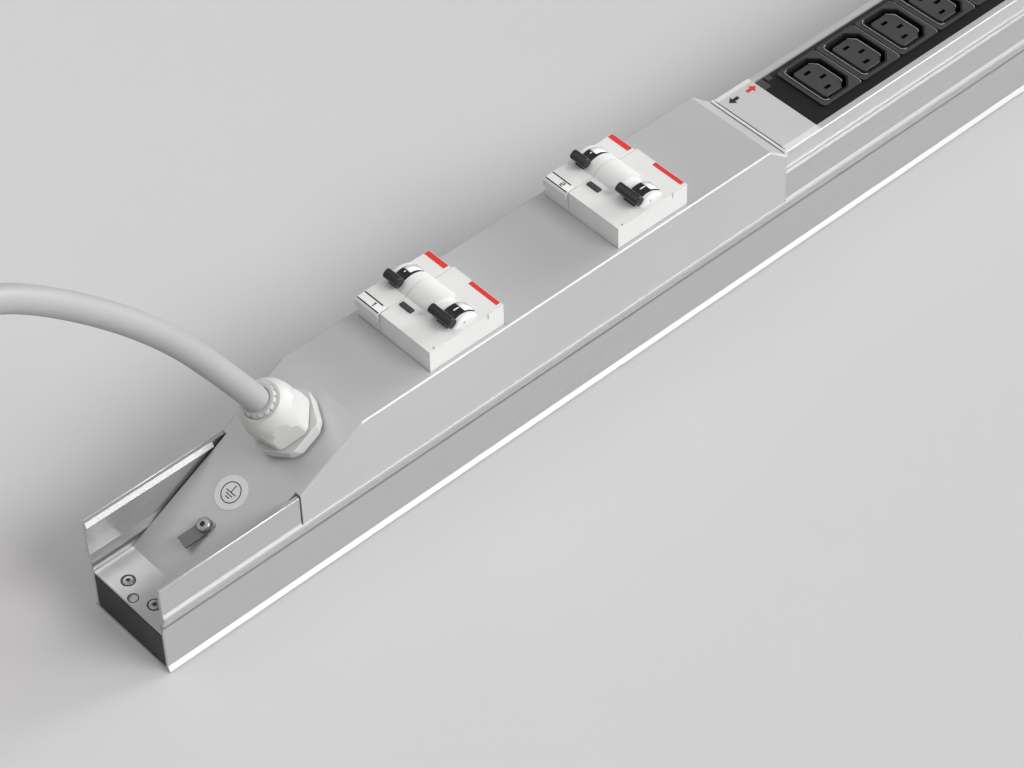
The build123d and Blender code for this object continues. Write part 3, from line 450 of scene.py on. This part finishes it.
def add_prism(mesh, outline, frame_matrix, low, high):
    """An upright prism of an outline between two heights."""
    count = len(outline)
    rings = []
    for height in (low, high):
        rings.append([mesh.verts.new(frame_matrix @ (Vector((x, y, height)) * MM)) for x, y in outline])
    mesh.faces.new(list(reversed(rings[0])))
    mesh.faces.new(rings[1])
    for i in range(count):
        j = (i + 1) % count
        mesh.faces.new((rings[0][i], rings[0][j], rings[1][j], rings[1][i]))


def add_ring(mesh, inner, outer, frame_matrix, low, high, count=64):
    """A flat ring about the frame's own axis."""
    loops = []
    for radius, height in ((inner, low), (outer, low), (outer, high), (inner, high)):
        loop = []
        for i in range(count):
            angle = 2 * math.pi * i / count
            spot = Vector((radius * math.cos(angle), radius * math.sin(angle), height))
            loop.append(mesh.verts.new(frame_matrix @ (spot * MM)))
        loops.append(loop)
    for a, b in zip(loops, loops[1:] + loops[:1]):
        for i in range(count):
            j = (i + 1) % count
            mesh.faces.new((a[i], a[j], b[j], b[i]))


def add_turned(mesh, profile, frame_matrix, count=40):
    """A turned form from (radius, height) pairs that start at the middle of its top."""
    loops = []
    for radius, height in profile:
        ring = []
        for i in range(count):
            angle = 2 * math.pi * i / count
            spot = Vector((radius * math.cos(angle), radius * math.sin(angle), height))
            ring.append(mesh.verts.new(frame_matrix @ (spot * MM)))
        loops.append(ring)
    mesh.faces.new(loops[0])
    mesh.faces.new(list(reversed(loops[-1])))
    for a, b in zip(loops, loops[1:]):
        for i in range(count):
            j = (i + 1) % count
            mesh.faces.new((a[i], a[j], b[j], b[i]))


def add_bar(mesh, outline, x0, x1):
    """A bar along the rail from an outline in (y, z)."""
    ends = [[mesh.verts.new(at(x, y, z)) for y, z in outline] for x in (x0, x1)]
    mesh.faces.new(list(reversed(ends[0])))
    mesh.faces.new(ends[1])
    for i in range(len(outline)):
        j = (i + 1) % len(outline)
        mesh.faces.new((ends[0][i], ends[0][j], ends[1][j], ends[1][i]))


def add_wire(mesh, outline, frame_matrix, height, radius, sides=6):
    """A thin round line along an open outline."""
    count = len(outline)
    loops = []
    for i in range(count):
        here = Vector((*outline[i], 0))
        before = Vector((*outline[max(i - 1, 0)], 0))
        after = Vector((*outline[min(i + 1, count - 1)], 0))
        way = ((here - before).normalized() + (after - here).normalized()).normalized()
        aside = Vector((way.y, -way.x, 0))
        loop = []
        for k in range(sides):
            angle = 2 * math.pi * k / sides
            lift = Vector((0, 0, height + radius * math.sin(angle)))
            spot = here + aside * radius * math.cos(angle) + lift
            loop.append(mesh.verts.new(frame_matrix @ (spot * MM)))
        loops.append(loop)
    mesh.faces.new(list(reversed(loops[0])))
    mesh.faces.new(loops[-1])
    for a, b in zip(loops, loops[1:]):
        for k in range(sides):
            m = (k + 1) % sides
            mesh.faces.new((a[k], a[m], b[m], b[k]))


def add_drum_band(mesh, x, z, y0, y1, radii, angles, steps=16):
    """A stretch of a thin drum across the breaker; angles are from upright towards the far end."""
    rows = []
    for i in range(steps + 1):
        angle = math.radians(angles[0] + (angles[1] - angles[0]) * i / steps)
        corners = ((radii[0], y0), (radii[1], y0), (radii[1], y1), (radii[0], y1))
        rows.append([mesh.verts.new(at(x + r * math.sin(angle), y, z + r * math.cos(angle)))
                     for r, y in corners])
    for a, b in zip(rows, rows[1:]):
        for k in range(4):
            m = (k + 1) % 4
            mesh.faces.new((a[k], a[m], b[m], b[k]))
    mesh.faces.new(list(reversed(rows[0])))
    mesh.faces.new(rows[-1])


def finish_piece(name, mesh, material, body, smooth=False):
    """Turn a mesh into a piece with its material, riding on its body."""
    bmesh.ops.recalc_face_normals(mesh, faces=mesh.faces)
    data = bpy.data.meshes.new(name)
    mesh.to_mesh(data)
    mesh.free()
    for face in data.polygons:
        face.use_smooth = smooth
    data.materials.append(MATERIALS[material])
    piece = bpy.data.objects.new(name, data)
    bpy.context.scene.collection.objects.link(piece)
    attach(piece, body)
    return piece


def rectangle(x0, x1, y0, y1):
    return [(x0, y0), (x1, y0), (x1, y1), (x0, y1)]


def stroke(start, end, width):
    """A short straight stroke as an outline."""
    a, b = Vector(start), Vector(end)
    way = (b - a).normalized() * width / 2
    side = Vector((-way.y, way.x))
    return [tuple(a - way - side), tuple(b + way - side), tuple(b + way + side), tuple(a - way + side)]


PRINT = 0.05                # thickness of printed marks and foils


# Earth sign: ring and earth symbol, its stem up the slope

SIGN_S, SIGN_Y, SIGN_FOIL = 47.8, 1.8, 0.3
SIGN_RING = (4.85, 5.35)
SIGN_STEM = ((0.0, 0.0), (3.7, 0.0))
SIGN_BARS = ((0.0, 2.9), (-1.35, 2.0), (-2.7, 1.1))
SIGN_STROKE = 0.5


def make_earth_symbol():
    mesh = bmesh.new()
    place = slope_frame(SIGN_S, SIGN_Y, SIGN_FOIL)
    add_ring(mesh, *SIGN_RING, place, 0, PRINT)
    add_prism(mesh, stroke(*SIGN_STEM, SIGN_STROKE), place, 0, PRINT)
    for along, half in SIGN_BARS:
        add_prism(mesh, stroke((along, -half), (along, half), SIGN_STROKE), place, 0, PRINT)
    finish_piece("earth_symbol", mesh, "print_black", RAIL)


make_earth_symbol()


# Flange: flat screws and the insert in the shallow hole, with painted shade: near-black rings round the
# heads and the hole, and near-black lobed shapes on the heads for their recesses

FLANGE_SCREWS = ((8.0, -9.7), (8.0, 9.7))
SCREW_RING = (3.0, 3.55)
SCREW_HEAD = ((1.2, 0.45), (1.9, 0.42), (2.5, 0.3), (2.9, 0.12), (3.0, -0.5))
SCREW_LOBES = (0.85, 1.25)
SCREW_RECESS = (0.3, 0.47)
HOLE_PLACE = (3.3, 0.0)
HOLE_INSERT = ((1.3, -0.3), (2.2, -0.12), (2.25, -0.9))
HOLE_RING = (2.25, 2.75)


def lobed(inner, outer, lobes=6, steps=48):
    """Outline of a screw's lobed recess."""
    points = []
    for i in range(steps):
        angle = 2 * math.pi * i / steps
        radius = (inner + outer) / 2 + (outer - inner) / 2 * math.cos(lobes * angle)
        points.append((radius * math.cos(angle), radius * math.sin(angle)))
    return points


def make_flange_details():
    heads, dark = bmesh.new(), bmesh.new()
    for x, y in FLANGE_SCREWS:
        place = level_frame(x, y, FLANGE_Z)
        add_turned(heads, SCREW_HEAD, place)
        # Painted shadow: a near-black ring round the head, and a near-black lobed shape for the shade in
        # its recess
        add_ring(dark, *SCREW_RING, place, 0, PRINT, 40)
        add_prism(dark, lobed(*SCREW_LOBES), place, *SCREW_RECESS)
    place = level_frame(*HOLE_PLACE, FLANGE_Z)
    # Painted shade: a near-black ring round the edge of the hole
    add_ring(dark, *HOLE_RING, place, 0, PRINT, 40)
    head_piece = finish_piece("flange_screw_heads", heads, "screw_steel", RAIL, True)
    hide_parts("box_flange_screws")
    finish_piece("flange_painted_shade_rings", dark, "slot_dark", RAIL)
    mesh = bmesh.new()
    add_turned(mesh, HOLE_INSERT, place)
    finish_piece("flange_hole_insert", mesh, "insert_grey", RAIL)


make_flange_details()


# Earth screw: a near-black lobed shape on its head, painted shade for its recess

EARTH_SCREW = (28.9, 0.3)
EARTH_RECESS = (2.9, 3.8)
EARTH_LOBES = (0.95, 1.3)


def make_earth_recess():
    mesh = bmesh.new()
    # Painted shade: the near-black shape stands for the shade inside the screw's recess
    add_prism(mesh, lobed(*EARTH_LOBES), slope_frame(*EARTH_SCREW), *EARTH_RECESS)
    finish_piece("earth_screw_recess_shade", mesh, "slot_dark", RAIL)


make_earth_recess()


# Rail: bead inside the top of the open walls, and round edges on the wall tops, in a metal lighter than the
# rail's that paints a highlight

WALL_OUT, WALL_IN, WALL_TOP = 28.0, 26.0, 57.9
BEAD = ((0.0, -0.05), (-1.3, -2.6), (-1.0, -2.9), (0.0, -3.1))
BEAD_SPAN = (0.05, 72.6)
WALL_EDGE = (0.05, 79.4)
EDGE_RADIUS = 0.32
EDGE_INSET = 0.15


def round_outline(y, z, radius, count=8):
    return [(y + radius * math.cos(2 * math.pi * i / count), z + radius * math.sin(2 * math.pi * i / count))
            for i in range(count)]


def make_rail_edges():
    mesh = bmesh.new()
    for side in (-1, 1):
        outline = [(side * (WALL_IN + y), WALL_TOP + z) for y, z in BEAD]
        add_bar(mesh, outline, *BEAD_SPAN)
    finish_piece("rail_wall_bead", mesh, "anodised_aluminium", RAIL)
    mesh = bmesh.new()
    # Round wires on the wall tops' outer edges: real rounds, in a lighter colour that paints a highlight
    for side in (-1, 1):
        outline = round_outline(side * (WALL_OUT - EDGE_INSET), WALL_TOP - EDGE_INSET, EDGE_RADIUS)
        add_bar(mesh, outline, *WALL_EDGE)
    finish_piece("rail_edges", mesh, "edge_metal_painted_highlight", RAIL, True)


make_rail_edges()


# Breakers: stripes, marker labels with plain numbers, toggle sectors and marks

BREAKER_PITCH = 117.7
BREAKER_FRONT_Z = 92.3
TOGGLE_X, TOGGLE_Z = 185.4, 85.4
DRUM_RADIUS = 10.7
SMALL_DRUM = (16.0, 21.2)
LARGE_DRUM = (-19.4, -12.4)
DRUM_MARGIN = 0.25
BAND_UNDER = 0.1            # bands reach this far into the drum
SECTOR_END = 62.0
SECTOR_PROUD, RIB_PROUD, MARK_PROUD = 0.14, 0.12, 0.16
RIB_START, RIB_HALF, RIB_COUNT = -12.0, 0.9, 5
RIB_END_GAP = 3.0
MARK_START, MARK_END_GAP, MARK_HALF = -6.0, 4.0, 0.3
SMALL_LIGHT_FROM, LARGE_LIGHT_FROM = 4.0, 15.0
STRIPES = (rectangle(201.4, 204.5, 10.6, 24.4), rectangle(203.2, 205.7, -23.9, -4.5))
MARKER_FOIL = rectangle(159.9, 165.7, 9.2, 24.2)
MARKER_LINES = (rectangle(160.0, 160.75, 9.2, 24.2), rectangle(164.85, 165.6, 11.4, 24.2))
NUMBER_PLACE = (162.8, 14.8)
NUMBER_STROKE = 0.55
NUMBERS = (
    (((0.0, -1.2), (0.0, 1.2)), ((-0.6, 0.65), (-0.05, 1.2))),
    (((-0.75, 1.2), (0.75, 1.2)), ((0.75, 1.2), (0.75, 0.0)), ((0.75, 0.0), (-0.75, 0.0)),
     ((-0.75, 0.0), (-0.75, -1.2)), ((-0.75, -1.2), (0.75, -1.2))),
)


def shifted(outline, along):
    return [(x + along, y) for x, y in outline]


def make_breaker_marks(n):
    name = "breaker_%d_" % (n + 1)
    along = n * BREAKER_PITCH
    front = level_frame(0, 0, BREAKER_FRONT_Z)
    mesh = bmesh.new()
    for outline in STRIPES:
        add_prism(mesh, shifted(outline, along), front, 0, PRINT)
    finish_piece(name + "stripes", mesh, "print_red", RAIL)

    mesh = bmesh.new()
    add_prism(mesh, shifted(MARKER_FOIL, along), front, 0, PRINT)
    finish_piece(name + "marker_foil", mesh, "label_white", RAIL)

    mesh = bmesh.new()
    for outline in MARKER_LINES:
        add_prism(mesh, shifted(outline, along), front, PRINT, 2 * PRINT)
    x, y = NUMBER_PLACE
    place = reading_frame(x + along, y, BREAKER_FRONT_Z)
    for start, end in NUMBERS[n]:
        add_prism(mesh, stroke(start, end, NUMBER_STROKE), place, PRINT, 2 * PRINT)
    finish_piece(name + "marker_print", mesh, "print_black", RAIL)


def make_toggle_marks(n, kind, drum, light_from):
    """White indicator sector behind the black one, fine ribs and a plain stroke on the black."""
    body = "breaker_%d_%s_toggle" % (n + 1, kind)
    x = TOGGLE_X + n * BREAKER_PITCH
    y0, y1 = drum[0] + DRUM_MARGIN, drum[1] - DRUM_MARGIN
    inner = DRUM_RADIUS - BAND_UNDER
    mesh = bmesh.new()
    add_drum_band(mesh, x, TOGGLE_Z, y0, y1, (inner, DRUM_RADIUS + SECTOR_PROUD),
                  (light_from, SECTOR_END), 24)
    finish_piece(body + "_sector", mesh, "label_white", body, True)

    mesh = bmesh.new()
    for k in range(RIB_COUNT):
        angle = RIB_START + (light_from - RIB_END_GAP - RIB_START) * k / (RIB_COUNT - 1)
        add_drum_band(mesh, x, TOGGLE_Z, y0, y1, (inner, DRUM_RADIUS + RIB_PROUD),
                      (angle - RIB_HALF, angle + RIB_HALF), 2)
    finish_piece(body + "_ribs", mesh, "toggle_black", body)

    mesh = bmesh.new()
    middle = (drum[0] + drum[1]) / 2
    add_drum_band(mesh, x, TOGGLE_Z, middle - MARK_HALF, middle + MARK_HALF,
                  (inner, DRUM_RADIUS + MARK_PROUD), (MARK_START, light_from - MARK_END_GAP), 8)
    finish_piece(body + "_mark", mesh, "label_white", body)


for number in (0, 1):
    make_breaker_marks(number)
    make_toggle_marks(number, "small", SMALL_DRUM, SMALL_LIGHT_FROM)
    make_toggle_marks(number, "large", LARGE_DRUM, LARGE_LIGHT_FROM)


# Modules: plain foils on the caps, arrows, outlet edges in a painted highlight grey and corner blocks of
# the outlets

MODULE_START_X = 390.8
MODULE_PITCH = 248.4
MODULE_LENGTH = 247.8
CAP_LENGTH = 25.6
CAP_PLATE_Z = 70.6
CAP_HALF = 22.4
CAP_RIM = 1.4
CAP_FOIL = 3 * PRINT
FOIL_GAP, FOIL_END_GAP = 0.5, 0.3
GROOVE_WIDTH, GROOVE_REACH = 0.45, 1.8
STRIP_TOP_Z = 69.4
TONGUE_DROP = 0.8
OUTLET_FIRST = 53.2
OUTLET_PITCH = 28.08
OUTLET_Y = 2.1
OUTLET_COUNT = 6
MODULE_COUNT = 3
RIM_EDGE = (21.8, 29.8, 2.5)
ROUND_STEPS = 6
RIM_WIRE, TONGUE_WIRE, TILE_WIRE = 0.15, 0.16, 0.13
TONGUE_EDGE = ((4.2, 11.7), (7.7, 8.0), (7.7, -8.0), (6.6, -9.2))
TILE_LINE = ((13.55, 15.0), (13.55, -14.6), (13.2, -15.8), (12.2, -16.7))
RIM_HEIGHT = 0.4
CORNER_BLOCKS = (rectangle(25.7, 31.8, 14.6, 21.7), rectangle(33.2, 36.6, 18.2, 21.7))
CORNER_HEIGHTS = (68.3, 68.85)
ARROW = [(0, -1.0), (3.4, -1.0), (3.4, -2.7), (6.6, 0), (3.4, 2.7), (3.4, 1.0), (0, 1.0)]
RED_ARROW_PLACE = (17.8, 18.3)
BLACK_ARROW_PLACE = (12.2, 18.3)


def make_cap_marks(n, end):
    """Label foil on one end cap, and a near-black strip beside it that is painted shade for its groove; end
    is 0 nearer the inlet, 1 at the far end.
    """
    name = "module_%d_cap_%d_" % (n + 1, end + 1)
    body = "socket_module_%d" % (n + 1)
    start = MODULE_START_X + n * MODULE_PITCH
    sign = 1 if end == 0 else -1
    origin = start if end == 0 else start + MODULE_LENGTH

    def span(a, b, half):
        x0, x1 = sorted((origin + sign * a, origin + sign * b))
        return rectangle(x0, x1, -half, half)

    top = level_frame(0, 0, CAP_PLATE_Z)
    mesh = bmesh.new()
    add_prism(mesh, span(CAP_RIM + FOIL_GAP, CAP_LENGTH - FOIL_END_GAP, CAP_HALF), top, 0, CAP_FOIL)
    finish_piece(name + "foil", mesh, "foil_grey", body)

    mesh = bmesh.new()
    # Painted shade: a near-black strip for the shade in the groove beside the rim
    groove = span(CAP_RIM, CAP_RIM + GROOVE_WIDTH, CAP_HALF + GROOVE_REACH)
    add_prism(mesh, groove, top, 0, PRINT)
    finish_piece(name + "groove", mesh, "slot_dark", body)


def make_arrows(n):
    name = "module_%d_" % (n + 1)
    body = "socket_module_%d" % (n + 1)
    start = MODULE_START_X + n * MODULE_PITCH
    top = CAP_PLATE_Z + CAP_FOIL
    for colour, place, turn in (("red", RED_ARROW_PLACE, 0), ("black", BLACK_ARROW_PLACE, math.pi)):
        frame_matrix = level_frame(start + place[0], place[1], top) @ Matrix.Rotation(turn, 4, "Z")
        mesh = bmesh.new()
        add_prism(mesh, ARROW, frame_matrix, 0, PRINT)
        finish_piece(name + colour + "_arrow", mesh, "print_" + colour, body)


def rim_line():
    """The rim's outer edge at the side of the line pins, with both rounds."""
    length, width, radius = RIM_EDGE
    half_x, half_y = length / 2, width / 2
    points = []
    for sign, first in ((1, math.pi / 2), (-1, math.pi)):
        for i in range(ROUND_STEPS + 1):
            angle = first + math.pi / 2 * i / ROUND_STEPS
            points.append((-half_x + radius + radius * math.cos(angle),
                           sign * (half_y - radius) + radius * math.sin(angle)))
    return points


def make_outlet_edges(n):
    """Thin round edges round each outlet, in a grey much lighter than the black moulding: a painted
    highlight.
    """
    body = "socket_module_%d" % (n + 1)
    start = MODULE_START_X + n * MODULE_PITCH
    mesh = bmesh.new()
    for k in range(OUTLET_COUNT):
        place = level_frame(start + OUTLET_FIRST + k * OUTLET_PITCH, OUTLET_Y, 0)
        add_wire(mesh, rim_line(), place, STRIP_TOP_Z + RIM_HEIGHT, RIM_WIRE)
        add_wire(mesh, TONGUE_EDGE, place, STRIP_TOP_Z - TONGUE_DROP, TONGUE_WIRE)
        add_wire(mesh, TILE_LINE, place, STRIP_TOP_Z, TILE_WIRE)
    finish_piece("module_%d_outlet_edges" % (n + 1), mesh, "edge_painted_highlight", body, True)
    mesh = bmesh.new()
    for outline in CORNER_BLOCKS:
        add_prism(mesh, shifted(outline, start), level_frame(0, 0, 0), *CORNER_HEIGHTS)
    finish_piece("module_%d_corner_blocks" % (n + 1), mesh, "tile_grey", body)


for number in range(MODULE_COUNT):
    make_cap_marks(number, 0)
    make_cap_marks(number, 1)
    make_arrows(number)
    make_outlet_edges(number)


# Floor and light

FLOOR_SIZE = 30.0
FLOOR_COLOUR = (0.58, 0.58, 0.58)
BACK_LEVEL = 0.62
WORLD_LEVEL = 0.37
# Soft boxes far off, each with its direction, half its width and height as sines, and its level
SOFT_BOXES = (
    ((0.319, -0.699, 0.638), (0.365, 0.182), 9.3),
    ((0.336, -0.929, 0.144), (0.449, 0.080), 4.65),
    ((0.936, -0.205, 0.292), (0.205, 0.146), 17.0),
)
BOX_EDGE = (1.35, 0.65)     # a soft box fades in between these, outside in
TOP_WATTS = 17.0
TOP_SIZE = 1.8
TOP_PLACE = (-1.2, 0.7, 2.7)
TOP_AIM = (-0.3, 0, 0)


def make_floor():
    bpy.ops.mesh.primitive_plane_add(size=FLOOR_SIZE, location=(0, 0, 0))
    floor = bpy.context.object
    floor.name = "floor"
    made, principled = shader("floor", FLOOR_COLOUR, 0.9, specular=0.1)
    tree = made.node_tree
    vary_colour(tree, principled, noise(tree, 3.0), FLOOR_COLOUR, 0.01)
    floor.data.materials.append(made)


def math_node(tree, operation, first, second):
    """A sum, product or comparison of two sockets or numbers."""
    node = tree.nodes.new("ShaderNodeMath")
    node.operation = operation
    for socket, value in zip(node.inputs, (first, second)):
        if isinstance(value, float):
            socket.default_value = value
        else:
            tree.links.new(value, socket)
    return node.outputs[0]


def soft_box(tree, ray, direction, half_sizes, level):
    """Level of an oval soft box towards which a ray goes, nothing elsewhere."""
    centre = Vector(direction).normalized()
    side = centre.cross(Vector((0, 0, 1))).normalized()
    shares = []
    for way, half in ((side, half_sizes[0]), (side.cross(centre), half_sizes[1]), (centre, 1.0)):
        dot = tree.nodes.new("ShaderNodeVectorMath")
        dot.operation = "DOT_PRODUCT"
        dot.inputs[1].default_value = way
        tree.links.new(ray, dot.inputs[0])
        shares.append(math_node(tree, "MULTIPLY", dot.outputs["Value"], 1 / half))
    squares = [math_node(tree, "MULTIPLY", s, s) for s in shares[:2]]
    edge = tree.nodes.new("ShaderNodeMapRange")
    edge.interpolation_type = "SMOOTHSTEP"
    edge.inputs["From Min"].default_value = BOX_EDGE[0]
    edge.inputs["From Max"].default_value = BOX_EDGE[1]
    edge.inputs["To Max"].default_value = level
    tree.links.new(math_node(tree, "ADD", *squares), edge.inputs["Value"])
    before = math_node(tree, "GREATER_THAN", shares[2], 0.0)
    return math_node(tree, "MULTIPLY", edge.outputs["Result"], before)


def make_light():
    world = bpy.data.worlds.new("world")
    bpy.context.scene.world = world
    world.use_nodes = True
    tree = world.node_tree
    back = tree.nodes["Background"]
    back.inputs["Color"].default_value = (1, 1, 1, 1)
    ray = tree.nodes.new("ShaderNodeTexCoord").outputs["Generated"]
    total = WORLD_LEVEL
    for direction, half_sizes, level in SOFT_BOXES:
        total = math_node(tree, "ADD", soft_box(tree, ray, direction, half_sizes, level), total)
    seen = tree.nodes.new("ShaderNodeLightPath").outputs["Is Camera Ray"]
    unseen = math_node(tree, "SUBTRACT", 1.0, seen)
    lit = math_node(tree, "MULTIPLY", total, unseen)
    plain = math_node(tree, "MULTIPLY", seen, BACK_LEVEL)
    tree.links.new(math_node(tree, "ADD", lit, plain), back.inputs["Strength"])
    data = bpy.data.lights.new("top", "AREA")
    data.size = TOP_SIZE
    data.energy = TOP_WATTS
    lamp = bpy.data.objects.new("top", data)
    lamp.location = TOP_PLACE
    lamp.rotation_mode = "QUATERNION"
    lamp.rotation_quaternion = (Vector(TOP_AIM) - lamp.location).to_track_quat("-Z", "Y")
    bpy.context.scene.collection.objects.link(lamp)
    bpy.context.scene.view_settings.view_transform = "Standard"


make_floor()
make_light()
